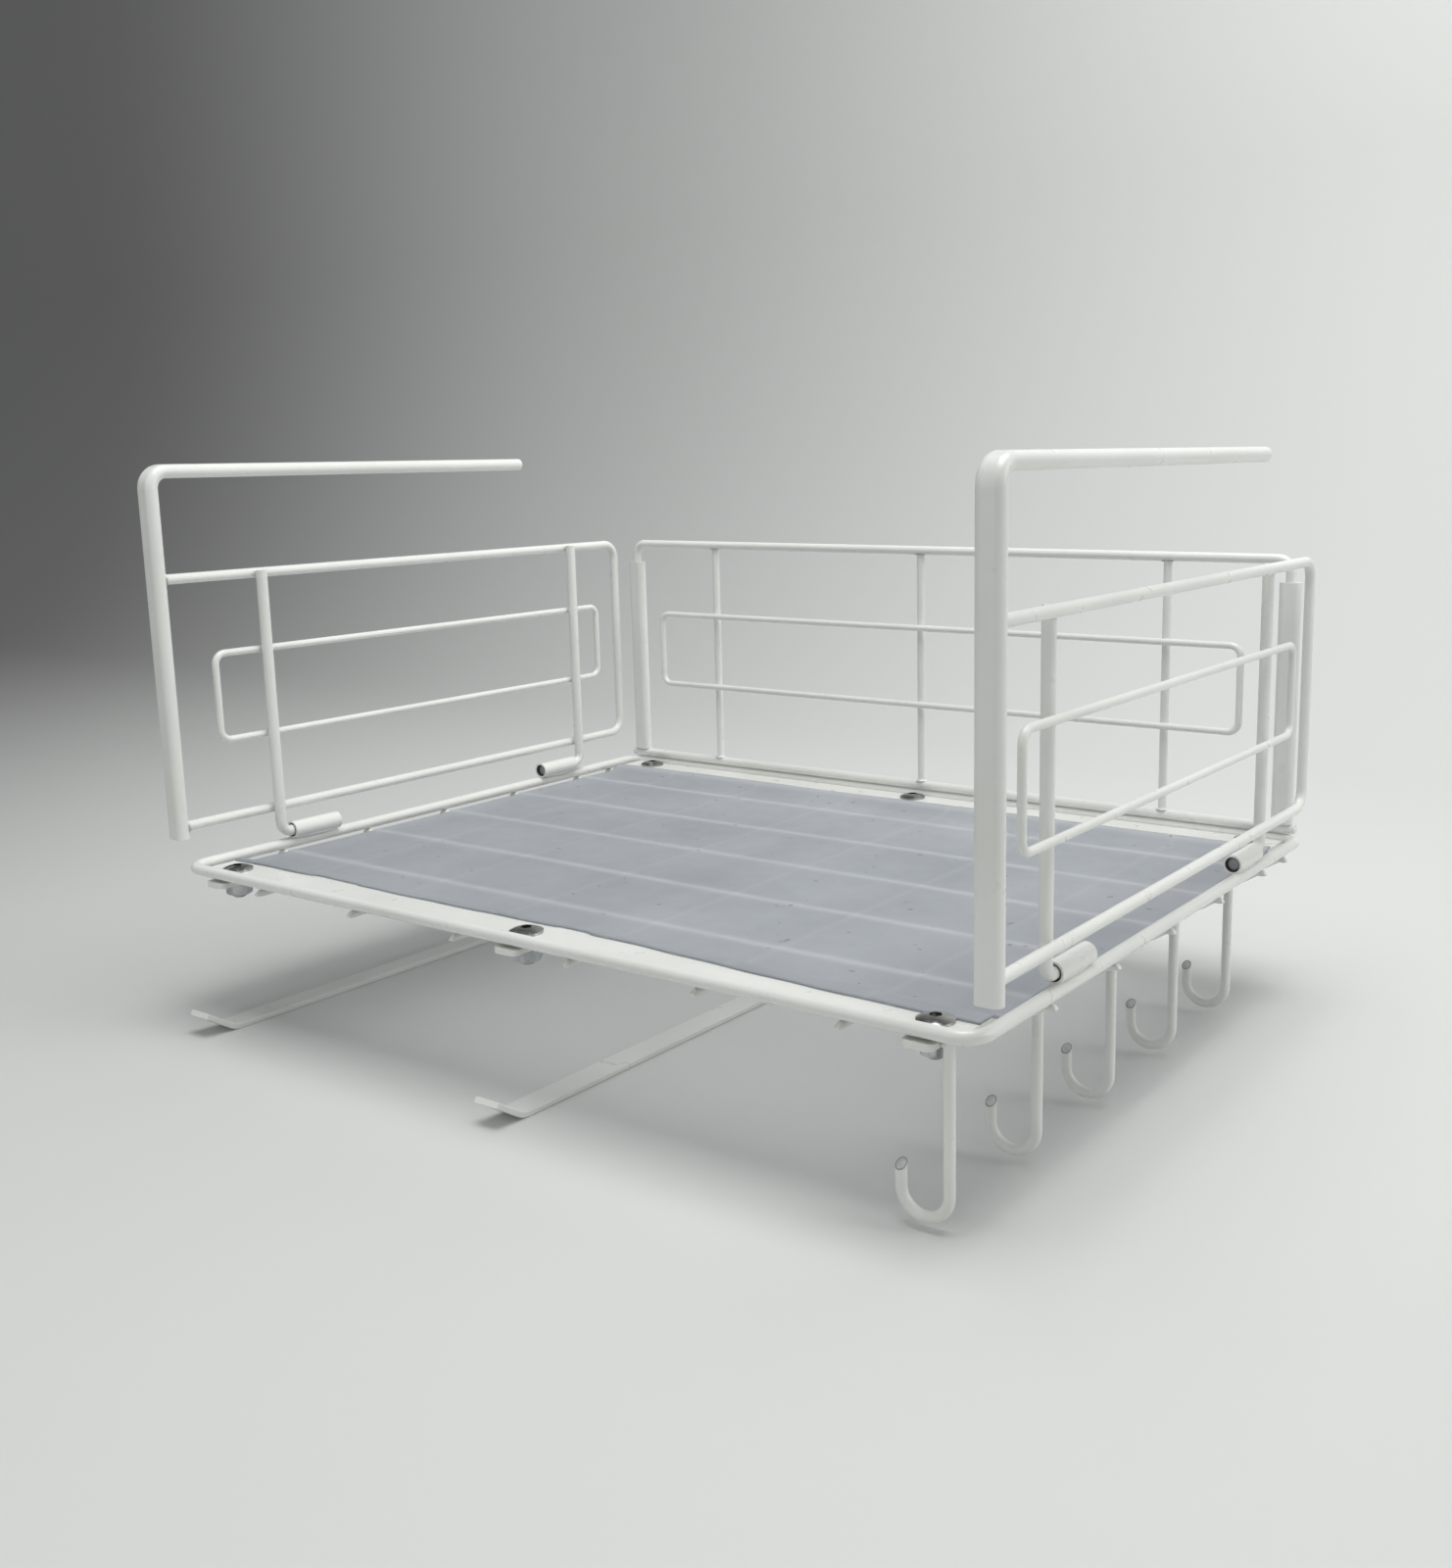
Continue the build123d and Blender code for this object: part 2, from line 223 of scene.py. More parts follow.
def square_axes(axis):
    """The axis as a unit vector, with two unit vectors square to it and to each other."""
    axis = np.array(axis, float) / np.linalg.norm(axis)
    across = np.cross(axis, (0.0, 0.0, 1.0) if abs(axis[2]) < 0.9 else (1.0, 0.0, 0.0))
    across /= np.linalg.norm(across)
    return axis, across, np.cross(axis, across)


def weld_bead(centre, halves):
    """A lens of filled powder: an ellipsoid with the given half lengths along X, Y and Z,
    in rings from just above its lowest point to just below its highest."""
    rise = np.linspace(-BEAD_REACH, BEAD_REACH, BEAD_ROWS)[:, None]
    turn = np.linspace(0, 2 * pi, BEAD_TURNS, endpoint=False)[None, :]
    width = np.cos(rise)
    height = np.sin(rise) + 0 * turn
    unit = np.stack([width * np.cos(turn), width * np.sin(turn), height], axis=-1)
    return closed_grid(unit * np.array(halves) + np.array(centre), BEAD_ROWS, BEAD_TURNS)


def weld_collar(centre, axis, wire_radius, size):
    """A hollow fillet round a wire's end: at angle a it stands size times (1 - sin a) out
    from the wire and size times (1 - cos a) up from the face that the wire is welded to."""
    up, across, beside = square_axes(axis)
    angle = np.linspace(0, pi / 2, COLLAR_ROWS)[:, None]
    turn = np.linspace(0, 2 * pi, BEAD_TURNS, endpoint=False)[None, :]
    out = wire_radius * COLLAR_SLACK + size * (1 - np.sin(angle))
    height = size * (1 - np.cos(angle)) + 0 * turn
    ring = out[..., None] * (np.cos(turn)[..., None] * across + np.sin(turn)[..., None] * beside)
    return closed_grid(np.array(centre) + ring + height[..., None] * up, COLLAR_ROWS, BEAD_TURNS)


def middle(name):
    """The centre of a node's box."""
    low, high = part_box(name)
    return (low + high) / 2


def reach(name, axis):
    """A node's lowest and highest coordinate along one axis."""
    low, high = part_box(name)
    return low[axis], high[axis]


LONG_WIRES = [f"long_wire_{n}" for n in range(1, 7)]
CROSS_WIRES = [f"cross_wire_{n}" for n in range(1, 7)]
HOOKS = [f"hook_{n}" for n in range(1, 6)]
GRID_BEAD = (0.0012, 0.0012, 0.0005)
STRIP_BEAD = (0.0011, 0.0085, 0.0004)
HOOK_BEAD = (0.0007, 0.0016, 0.0011)
HOOK_BEAD_OUT = 0.0006  # out from the bar's edge
HOOK_BEAD_ASIDE = 0.0013  # to each side of the hook's stem

base_beads = []
for long_wire in LONG_WIRES:
    x = middle(long_wire).x
    under_long = reach(long_wire, 2)[0]
    for cross_wire in CROSS_WIRES:
        base_beads.append(weld_bead((x, middle(cross_wire).y, under_long), GRID_BEAD))
    for strip in ("front_strip", "rear_strip"):
        base_beads.append(weld_bead((x, middle(strip).y, reach(strip, 2)[0]), STRIP_BEAD))
for name in HOOKS:
    edge = reach("hook_bar", 0)[1]
    low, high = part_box(name)
    stem_y = (low.y + high.y) / 2
    for side in (-1, 1):
        spot = (edge + HOOK_BEAD_OUT, stem_y + side * HOOK_BEAD_ASIDE, middle("hook_bar").z)
        base_beads.append(weld_bead(spot, HOOK_BEAD))
new_piece("base_welds", *joined(base_beads), white_coat, "base", "white_powder_coat")

# ---------------------------------------------------------------------------
# Sheared ends of the grid wires
# The grid is cut to size in a shear, which leaves a slanted chisel end on each
# wire where it stands out from under the rails.
# ---------------------------------------------------------------------------

GRID_RADIUS = 0.0015
SHEAR_LENGTH = 0.0022
SHEAR_ROWS = 6
SHEAR_TURNS = 14
SHEAR_FLATTEN = 0.82  # share of the height lost at the tip
SHEAR_DROP = 0.55
SHEAR_NARROW = 0.25  # share of the width lost at the tip
SHEAR_LAP = 0.0001  # how far an end starts inside its wire


def sheared_end(centre, outwards):
    """A wire's end drawn down to a chisel: the round section flattens towards its lower
    edge in proportion to the square of the distance along it."""
    out, across, _ = square_axes(outwards)
    along = np.linspace(0, 1, SHEAR_ROWS)[:, None, None]
    turn = np.linspace(0, 2 * pi, SHEAR_TURNS, endpoint=False)[None, :, None]
    flat = 1 - SHEAR_FLATTEN * along**2
    rise = GRID_RADIUS * (np.sin(turn) * flat - (1 - flat) * SHEAR_DROP)
    width = GRID_RADIUS * np.cos(turn) * (1 - SHEAR_NARROW * along)
    ring = width * across + rise * np.array((0, 0, 1.0))
    points = np.array(centre) + along * SHEAR_LENGTH * out + ring
    return closed_grid(points, SHEAR_ROWS, SHEAR_TURNS)


wire_ends = []
for long_wire in LONG_WIRES:
    spot = middle(long_wire)
    front, back = reach(long_wire, 1)
    wire_ends.append(sheared_end((spot.x, front + SHEAR_LAP, spot.z), (0, -1, 0)))
    wire_ends.append(sheared_end((spot.x, back - SHEAR_LAP, spot.z), (0, 1, 0)))
for cross_wire in CROSS_WIRES:
    spot = middle(cross_wire)
    left, right = reach(cross_wire, 0)
    top = reach(cross_wire, 2)[1] - GRID_RADIUS
    wire_ends.append(sheared_end((right - SHEAR_LAP, spot.y, top), (1, 0, 0)))
    wire_ends.append(sheared_end((left + SHEAR_LAP, spot.y, top), (-1, 0, 0)))
new_piece("grid_wire_ends", *joined(wire_ends), white_coat, "base", "white_powder_coat")

# ---------------------------------------------------------------------------
# Mat
# Frosted, slightly blue plastic sheet cut by hand, loose on the grid. It climbs
# onto both strips, rides up a little over each cross wire and sags between them.
# ---------------------------------------------------------------------------

MAT_THICKNESS = 0.0008
MAT_COLUMNS = 260
MAT_ROWS = 200
MAT_LAP = 0.0022  # how far its front and rear edges lie on the strips
MAT_TAPER = 0.006  # the front edge runs out this far forwards, between these two X
MAT_TAPER_ENDS = (0.03, 0.17)
EDGE_WAVES = ((0.0004, 41, 1.3), (0.0002, 173, 0.0))  # height, radians per metre, start
REAR_WAVE = (0.0005, 37, 0.0)
CUT_STEPS = ((-0.142, 0.0012), (-0.112, -0.0009), (0.004, 0.0008), (0.021, -0.0011))  # X, size
CUT_STEP_RUN = 0.003
CLIMB_START = 0.0002  # the climb beside a strip lies between these two distances from it
CLIMB_STOP = 0.007
LAP_GAP = 0.0001
MAT_SAG = 0.00035
SAG_WAVE = 23  # radians per metre along X
SAG_START = 0.6
SAG_CROSS_WAVE = 31  # radians per metre along Y
SAG_SLANT = 5
MAT_RIDGE = 0.00022
CROSS_RIDGE_WIDTH = 0.003
LONG_RIDGE_WIDTH = 0.0035
LONG_RIDGE_SHARE = 0.5
MAT_BLUE = (0.46, 0.485, 0.52, 1.0)
MAT_PALE = (0.54, 0.565, 0.60, 1.0)
# painted light: the pale tone of the white wires showing through the frosted sheet
MAT_PAINTED_SHOW_THROUGH = (0.74, 0.76, 0.78, 1.0)
MAT_CLOUDS = 14.0  # clouds per metre
CROSS_PAINTED_SHOW_THROUGH = (0.0024, 0.55)  # width and strength of the painted pale band where a cross wire shows through the sheet
# width and strength of the painted pale band where a long wire shows through the sheet
LONG_PAINTED_SHOW_THROUGH = (0.0016, 0.16)
SPECK_GREY = (0.6, 0.6, 0.64, 1.0)
SPECK_CLEAR = (1.0, 1.0, 1.0, 1.0)
SPECK_GRAIN = 260.0
SPECK_EDGES = (0.14, 0.17)
MAT_ROUGHNESS = (0.42, 0.58)
MAT_GLOSS_CLOUDS = 90.0
MAT_GRAIN = 1500.0
MAT_GRAIN_DEPTH = 0.00003
MAT_GRAIN_STRENGTH = 0.3
MAT_LETS_THROUGH = 0.45
MAT_IOR = 1.3
ONE_OVER_E = 0.3679
COLOUR_A = 6  # a Mix node's colour sockets
COLOUR_B = 7
COLOUR_RESULT = 2


def smooth_step(value, start, stop):
    """0 before start and 1 after stop, with an S curve between."""
    t = np.clip((value - start) / (stop - start), 0, 1)
    return t * t * (3 - 2 * t)


def hump(value, centre, width):
    """A bell curve: exp(-((value - centre) / width)^2)."""
    return np.exp(-(((value - centre) / width) ** 2))


def wave(value, height, rate, start):
    """height x sin(value x rate + start)."""
    return height * np.sin(value * rate + start)


def mat_surface():
    """Top of the mat on a grid: x runs straight, y runs between two hand-cut edges, and z is
    the grid's height plus the climb onto the strips, a ridge at each wire and a slow sag."""
    low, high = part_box("mat")
    front_strip = reach("front_strip", 1)[1]
    rear_strip = reach("rear_strip", 1)[0]
    strip_top = reach("front_strip", 2)[1]
    across = np.linspace(low.x, high.x, MAT_COLUMNS)[None, :]
    share = np.linspace(0, 1, MAT_ROWS)[:, None]
    wander = sum(wave(across, *one) for one in EDGE_WAVES)
    steps = sum(size * smooth_step(across, x, x + CUT_STEP_RUN) for x, size in CUT_STEPS)
    taper = MAT_TAPER * smooth_step(across, *MAT_TAPER_ENDS)
    front = front_strip - MAT_LAP + wander + steps - taper
    rear = rear_strip + MAT_LAP + wave(across, *REAR_WAVE)
    along = front + (rear - front) * share
    climb = 1 - smooth_step(along, front_strip + CLIMB_START, front_strip + CLIMB_STOP)
    climb = climb + smooth_step(along, rear_strip - CLIMB_STOP, rear_strip - CLIMB_START)
    rest = low.z + MAT_THICKNESS
    height = rest + climb * (strip_top + LAP_GAP + MAT_THICKNESS - rest)
    inside = 1 - climb
    for name in CROSS_WIRES:
        ridge = MAT_RIDGE * hump(along, middle(name).y, CROSS_RIDGE_WIDTH)
        height = height + inside * ridge
    for name in LONG_WIRES:
        ridge = LONG_RIDGE_SHARE * MAT_RIDGE * hump(across, middle(name).x, LONG_RIDGE_WIDTH)
        height = height + inside * ridge
    slow = np.sin(across * SAG_WAVE + SAG_START)
    slow = slow * np.sin(along * SAG_CROSS_WAVE + across * SAG_SLANT)
    height = height + inside * MAT_SAG * 0.5 * (slow + 1)
    return np.stack([across + 0 * along, along, height + 0 * across], axis=-1)


def feed(tree, socket, value):
    """Gives a socket a constant or another node's output."""
    if isinstance(value, bpy.types.NodeSocket):
        tree.links.new(value, socket)
    else:
        socket.default_value = value


def worked_out(tree, operation, first, second=None):
    """One step of arithmetic, on one or two constants or outputs."""
    step = tree.nodes.new("ShaderNodeMath")
    step.operation = operation
    feed(tree, step.inputs[0], first)
    if second is not None:
        feed(tree, step.inputs[1], second)
    return step.outputs[0]


def mixed(tree, factor, under, over, blend):
    """The over colour laid on the under colour by a factor."""
    mix = tree.nodes.new("ShaderNodeMix")
    mix.data_type = "RGBA"
    mix.blend_type = blend
    feed(tree, mix.inputs["Factor"], factor)
    feed(tree, mix.inputs[COLOUR_A], under)
    feed(tree, mix.inputs[COLOUR_B], over)
    return mix.outputs[COLOUR_RESULT]


def painted_wire_show_through(tree, coordinate, centres, width, strength):
    """One soft painted pale band of light at each wire, where it shows through the sheet: strength x
    exp(-(distance / width)^2), summed.
    """
    total = 0.0
    for centre in centres:
        distance = worked_out(tree, "SUBTRACT", coordinate, centre)
        distance = worked_out(tree, "DIVIDE", distance, width)
        squared = worked_out(tree, "POWER", worked_out(tree, "ABSOLUTE", distance), 2.0)
        total = worked_out(tree, "ADD", total, worked_out(tree, "POWER", ONE_OVER_E, squared))
    return worked_out(tree, "MULTIPLY", total, strength)


def frosted_sheet():
    """Bluish frosted plastic: painted pale bands of light where wires lie close behind it
    and show through, faint clouds between them, a few specks of dust, and a soft even gloss."""
    material, tree, shader, link = new_material("frosted_sheet")
    place = tree.nodes.new("ShaderNodeTexCoord")
    parts = tree.nodes.new("ShaderNodeSeparateXYZ")
    link(place.outputs["Object"], parts.inputs["Vector"])
    cross = painted_wire_show_through(tree, parts.outputs["Y"], [middle(n).y for n in CROSS_WIRES], *CROSS_PAINTED_SHOW_THROUGH)
    along = painted_wire_show_through(tree, parts.outputs["X"], [middle(n).x for n in LONG_WIRES], *LONG_PAINTED_SHOW_THROUGH)
    painted_show_through = worked_out(tree, "ADD", cross, along)
    clouds = object_noise(tree, MAT_CLOUDS, detail=3.0)
    sheet = blend_colours(tree, clouds, MAT_BLUE, MAT_PALE, NOISE_LOW, NOISE_HIGH)
    # painted light: pale bands where the wires show through, laid over the sheet's colour
    sheet_with_painted_show_through = mixed(tree, painted_show_through, sheet, MAT_PAINTED_SHOW_THROUGH, "MIX")
    dust = object_noise(tree, SPECK_GRAIN, detail=0.0)
    specks = blend_colours(tree, dust, SPECK_GREY, SPECK_CLEAR, *SPECK_EDGES)
    link(mixed(tree, 1.0, sheet_with_painted_show_through, specks, "MULTIPLY"), shader.inputs["Base Color"])
    gloss = object_noise(tree, MAT_GLOSS_CLOUDS, detail=4.0)
    link(spread(tree, gloss, *MAT_ROUGHNESS), shader.inputs["Roughness"])
    shader.inputs["Transmission Weight"].default_value = MAT_LETS_THROUGH
    shader.inputs["IOR"].default_value = MAT_IOR
    grain = object_noise(tree, MAT_GRAIN, detail=2.0)
    link(bumped(tree, grain, MAT_GRAIN_DEPTH, MAT_GRAIN_STRENGTH), shader.inputs["Normal"])
    return material


surface = mat_surface()
mat_faces = grid_faces(MAT_ROWS, MAT_COLUMNS, wrap=False)
mat_piece = new_piece(
    "mat_sheet", surface.reshape(-1, 3), mat_faces, frosted_sheet(), "base", "mat_plastic"
)
wall = mat_piece.modifiers.new("thickness", "SOLIDIFY")
wall.thickness = MAT_THICKNESS
wall.offset = -1.0
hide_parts("mat")

# ---------------------------------------------------------------------------
# Bolts and nuts
# M6 bolts with low domed heads and hexagon sockets, nickel-chrome plated, with
# bright zinc plated hexagon nuts under the bars.
# ---------------------------------------------------------------------------

HEAD_RADIUS = 0.0065
THREAD_PITCH = 0.001
THREAD_DEPTH = 0.0003
THREAD_TURNS = 36
THREAD_ROWS = 24
THREAD_RADIUS = 0.00298
THREAD_LEAD = 0.0004  # the thread starts and ends this far inside the nut and the shank
CHROME_DARK = (0.30, 0.295, 0.285, 1.0)
CHROME_LIGHT = (0.46, 0.455, 0.44, 1.0)
CHROME_ROUGHNESS = (0.08, 0.2)
CHROME_GRAIN = 900.0
ZINC_DARK = (0.36, 0.375, 0.39, 1.0)
ZINC_LIGHT = (0.55, 0.565, 0.58, 1.0)
ZINC_ROUGHNESS = (0.3, 0.48)
ZINC_GRAIN = 500.0
PLATE_CLOUDS = 180.0
PLATE_DEPTH = 0.00002
PLATE_STRENGTH = 0.2

def plated_steel(name, dark, light, roughness, grain):
    """Plated metal: its tone and gloss vary in soft clouds, over faint polishing marks."""
    material, tree, shader, link = new_material(name)
    clouds = object_noise(tree, PLATE_CLOUDS, detail=3.0)
    link(blend_colours(tree, clouds, dark, light), shader.inputs["Base Color"])
    marks = object_noise(tree, grain, detail=2.0, stretch=(1.0, 1.0, 4.0))
    link(spread(tree, marks, *roughness), shader.inputs["Roughness"])
    link(bumped(tree, marks, PLATE_DEPTH, PLATE_STRENGTH), shader.inputs["Normal"])
    shader.inputs["Metallic"].default_value = 1.0
    return material


def thread(centre_x, centre_y, top, bottom, radius):
    """Screw thread: the radius dips as a triangle wave of height over pitch less the turn."""
    height = np.linspace(bottom, top, THREAD_ROWS)[:, None]
    turn = np.linspace(0, 2 * pi, THREAD_TURNS, endpoint=False)[None, :]
    phase = (height / THREAD_PITCH - turn / (2 * pi)) % 1.0
    dip = THREAD_DEPTH * np.abs(2 * phase - 1)
    width = radius - dip
    points = [centre_x + width * np.cos(turn), centre_y + width * np.sin(turn), height + 0 * turn]
    return closed_grid(np.stack(points, axis=-1), THREAD_ROWS, THREAD_TURNS)


chrome = plated_steel("chrome_plate", CHROME_DARK, CHROME_LIGHT, CHROME_ROUGHNESS, CHROME_GRAIN)
zinc = plated_steel("zinc_plate", ZINC_DARK, ZINC_LIGHT, ZINC_ROUGHNESS, ZINC_GRAIN)
finish_nodes(["bolts"], chrome)
finish_nodes(["nuts"], zinc)
thread_bottom = reach("bolts", 2)[0] + THREAD_LEAD
thread_top = reach("nuts", 2)[0] + THREAD_LEAD
threads = []
bolts_low, bolts_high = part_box("bolts")
for bar in ("board_rail_left", "board_rail_middle", "hook_bar"):
    for y in (bolts_low.y + HEAD_RADIUS, bolts_high.y - HEAD_RADIUS):
        threads.append(thread(middle(bar).x, y, thread_top, thread_bottom, THREAD_RADIUS))
new_piece("bolt_threads", *joined(threads), zinc, "base", "nut_zinc")

# ---------------------------------------------------------------------------
# Hook tips
# The 4 mm hook wire is sheared on a slant that faces the front; the cut shows as a
# pale face inside a thin darker rim.
# ---------------------------------------------------------------------------

CUT_GREY = (0.66, 0.67, 0.65, 1.0)
RIM_GREY = (0.30, 0.30, 0.29, 1.0)
HOOK_WIRE_RADIUS = 0.002
HOOK_BEND_RADIUS = 0.009
HOOK_TIP_RISE = 0.0055
CUT_SLOPE = 0.75
CUT_TURNS = 28
CUT_ROUGHNESS = 0.5
RIM_ROUGHNESS = 0.6
THIN_CLOUDS = 600.0
THIN_GLOSS_CLOUDS = 900.0
THIN_GRAIN = 1800.0
THIN_DEPTH = 0.00002
THIN_STRENGTH = 0.4
DEEPER = 0.8
GLOSS_SPREAD = 0.08


def plain_coat(name, colour, roughness):
    """One tone with fine clouds and a light grain: bare steel, the darker rims round the cuts, and the
    painted shade in the hinge bores.
    """
    material, tree, shader, link = new_material(name)
    deeper = tuple(c * DEEPER for c in colour[:3]) + (1.0,)
    clouds = object_noise(tree, THIN_CLOUDS, detail=3.0)
    link(blend_colours(tree, clouds, deeper, colour), shader.inputs["Base Color"])
    gloss = object_noise(tree, THIN_GLOSS_CLOUDS)
    gloss = spread(tree, gloss, roughness - GLOSS_SPREAD, roughness + GLOSS_SPREAD)
    link(gloss, shader.inputs["Roughness"])
    grain = object_noise(tree, THIN_GRAIN)
    link(bumped(tree, grain, THIN_DEPTH, THIN_STRENGTH), shader.inputs["Normal"])
    return material


def slanted_rings(tip, rings):
    """Rings (radius, lift, slant) about a hook's tip: each point stands lift above the tip
    plus slant times CUT_SLOPE times its distance behind the front of the wire."""
    turn = np.linspace(0, 2 * pi, CUT_TURNS, endpoint=False)[None, :]
    radius, lift, slant = (np.array([r[i] for r in rings])[:, None] for i in range(3))
    across = radius * np.cos(turn)
    along = radius * np.sin(turn)
    rise = lift + slant * CUT_SLOPE * (along + HOOK_WIRE_RADIUS)
    offsets = np.stack([across, along, rise], axis=-1)
    return closed_grid(np.array(tip) + offsets, len(rings), CUT_TURNS)


tip_height = reach("hook_1", 2)[0] + HOOK_WIRE_RADIUS + HOOK_BEND_RADIUS + HOOK_TIP_RISE
# each ring is its radius, its lift above the tip and its share of the slant
sleeve = [(0.002, -0.0003, 0.0), (0.002, 0.0, 1.0), (0.0015, 0.00004, 1.0)]
rim = [(0.00199, 0.0, 1.0), (0.0020, 0.00006, 1.0), (0.00175, 0.00012, 1.0)]
rim += [(0.0015, 0.00002, 1.0)]
face = [(0.00176, 0.0, 1.0), (0.00168, 0.00012, 1.0), (0.0004, 0.00014, 1.0)]
tips = {"sleeves": [], "rims": [], "faces": []}
for name in HOOKS:
    low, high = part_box(name)
    tip = (low.x + HOOK_WIRE_RADIUS, (low.y + high.y) / 2, tip_height)
    tips["sleeves"].append(slanted_rings(tip, sleeve))
    tips["rims"].append(slanted_rings(tip, rim))
    tips["faces"].append(slanted_rings(tip, face))
cut_face = plain_coat("cut_face", CUT_GREY, CUT_ROUGHNESS)
cut_rim = plain_coat("cut_rim", RIM_GREY, RIM_ROUGHNESS)
new_piece("hook_tip_sleeves", *joined(tips["sleeves"]), white_coat, "base", "white_powder_coat")
new_piece("hook_cut_rims", *joined(tips["rims"]), cut_rim, "base", "white_powder_coat")
new_piece("hook_cut_faces", *joined(tips["faces"]), cut_face, "base", "white_powder_coat")

# ---------------------------------------------------------------------------
# Hinge tubes and pins
# Short tubes welded along the tops of the side rails; the coat doesn't reach the
# bore, which is bare steel lined in near-black as painted shade deep inside it, and the
# bare sawn end of each loose pin shows in it.
# ---------------------------------------------------------------------------

# painted shade: near-black, darker than bare steel, for the shade deep in the bores
BORE_STEEL_AND_SHADE = (0.05, 0.05, 0.052, 1.0)
BORE_ROUGHNESS = 0.55
PIN_GREY = (0.36, 0.37, 0.38, 1.0)
PIN_ROUGHNESS = 0.45
BORE_RADIUS = 0.0032
LINING_WALL = 0.00012
LINING_INSET = 0.0003  # from each end of the tube
ROD_RADIUS = 0.0025
PIN_CAP = [(0.0024, -0.0003), (0.0024, 0.00005), (0.0021, 0.00025), (0.0004, 0.0003)]
SEAM_HALF = (0.0007, 0.0118, 0.0008)
SEAM_ASIDE = 0.0016
SEAM_LIFT = 0.0001


def turned_rings(centre, axis, profile):
    """Rings of points about an axis through the centre, one for each (radius, height)."""
    up, across, beside = square_axes(axis)
    turn = np.linspace(0, 2 * pi, CUT_TURNS, endpoint=False)[None, :, None]
    radius = np.array([p[0] for p in profile])[:, None, None]
    height = np.array([p[1] for p in profile])[:, None, None]
    ring = radius * (np.cos(turn) * across + np.sin(turn) * beside)
    return np.array(centre) + ring + height * up


def lathe(centre, axis, profile):
    """A profile turned about the axis and closed at both ends."""
    return closed_grid(turned_rings(centre, axis, profile), len(profile), CUT_TURNS)


def bore_shade_lining(tube):
    """A thin sleeve inside a tube's bore, painted near-black for the bare steel and the shade deep
    inside it: four rings, the last joined to the first.
    """
    front, back = reach(tube, 1)
    spot = middle(tube)
    inner = BORE_RADIUS - LINING_WALL
    far = back - front - LINING_INSET
    skin = [(BORE_RADIUS, LINING_INSET), (inner, LINING_INSET), (inner, far), (BORE_RADIUS, far)]
    points = turned_rings((spot.x, front, spot.z), (0, 1, 0), skin).reshape(-1, 3)
    faces = grid_faces(len(skin) + 1, CUT_TURNS, wrap=True) % len(points)
    return points, [tuple(f) for f in faces]


bore_steel_and_shade = plain_coat("bore_steel_and_shade", BORE_STEEL_AND_SHADE, BORE_ROUGHNESS)
pin_steel = plain_coat("pin_steel", PIN_GREY, PIN_ROUGHNESS)
rail_top = reach("base_loop", 2)[1]
bore_shade_linings = []
seams = []
for side in ("left", "right"):
    for end in ("front", "rear"):
        tube = f"{side}_hinge_tube_{end}"
        bore_shade_linings.append(bore_shade_lining(tube))
        spot = middle(tube)
        for lean in (-SEAM_ASIDE, SEAM_ASIDE):
            seams.append(weld_bead((spot.x + lean, spot.y, rail_top + SEAM_LIFT), SEAM_HALF))
    for end, out in (("front", 1), ("rear", -1)):
        low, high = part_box(f"{side}_{end}_hinge_rod")
        rod_end = high.y if out > 0 else low.y
        centre = (middle(f"{side}_hinge_tube_{end}").x, rod_end, low.z + ROD_RADIUS)
        cap = lathe(centre, (0, out, 0), PIN_CAP)
        new_piece(f"{side}_{end}_pin_end", *cap, pin_steel, f"{side}_panel", "nut_zinc")
new_piece("hinge_bore_shade_linings", *joined(bore_shade_linings), bore_steel_and_shade, "base", "nut_zinc")
new_piece("hinge_tube_seams", *joined(seams), white_coat, "base", "white_powder_coat")

# ---------------------------------------------------------------------------
# Welds of the side panels
# The rods are welded against the inner faces of the rails and of the loop; both
# rails end square against the front post, with a fillet of powder round each.
# ---------------------------------------------------------------------------

RAIL_RADIUS = 0.00225
LOOP_RADIUS = 0.0016
RAIL_BEAD = (0.0006, 0.0017, 0.0017)
LOOP_BEAD = (0.0005, 0.0014, 0.0012)
COLLAR_SIZE = 0.0009
RAIL_SINK = 0.00015  # how far the rails sink into the post

for side, sign in (("left", -1), ("right", 1)):
    shells = []
    wire_low, wire_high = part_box(f"{side}_outer_wire")
    loop_low, loop_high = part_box(f"{side}_inner_loop")
    for end in ("front", "rear"):
        rod = f"{side}_{end}_hinge_rod"
        rod_low, rod_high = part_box(rod)
        rod_y = rod_low.y + ROD_RADIUS if end == "front" else rod_high.y - ROD_RADIUS
        face = rod_high.x if sign > 0 else rod_low.x
        for z in (wire_low.z + RAIL_RADIUS, wire_high.z - RAIL_RADIUS):
            shells.append(weld_bead((face, rod_y, z), RAIL_BEAD))
        for z in (loop_low.z + LOOP_RADIUS, loop_high.z - LOOP_RADIUS):
            shells.append(weld_bead((face, rod_y, z), LOOP_BEAD))
    wire_x = (wire_low.x + wire_high.x) / 2
    post_back = wire_low.y + RAIL_SINK
    for z in (wire_low.z + RAIL_RADIUS, wire_high.z - RAIL_RADIUS):
        shells.append(weld_collar((wire_x, post_back, z), (0, 1, 0), RAIL_RADIUS, COLLAR_SIZE))
    body = f"{side}_panel"
    new_piece(f"{side}_panel_welds", *joined(shells), white_coat, body, "white_powder_coat")

# ---------------------------------------------------------------------------
# Welds of the back panel
# Three uprights are butt welded between the top and bottom wires, and the loop is
# spot welded to their front faces.
# ---------------------------------------------------------------------------

UPRIGHT_RADIUS = 0.002
BACK_BEAD = (0.0013, 0.0005, 0.0011)
BUTT_LAP = 0.0001

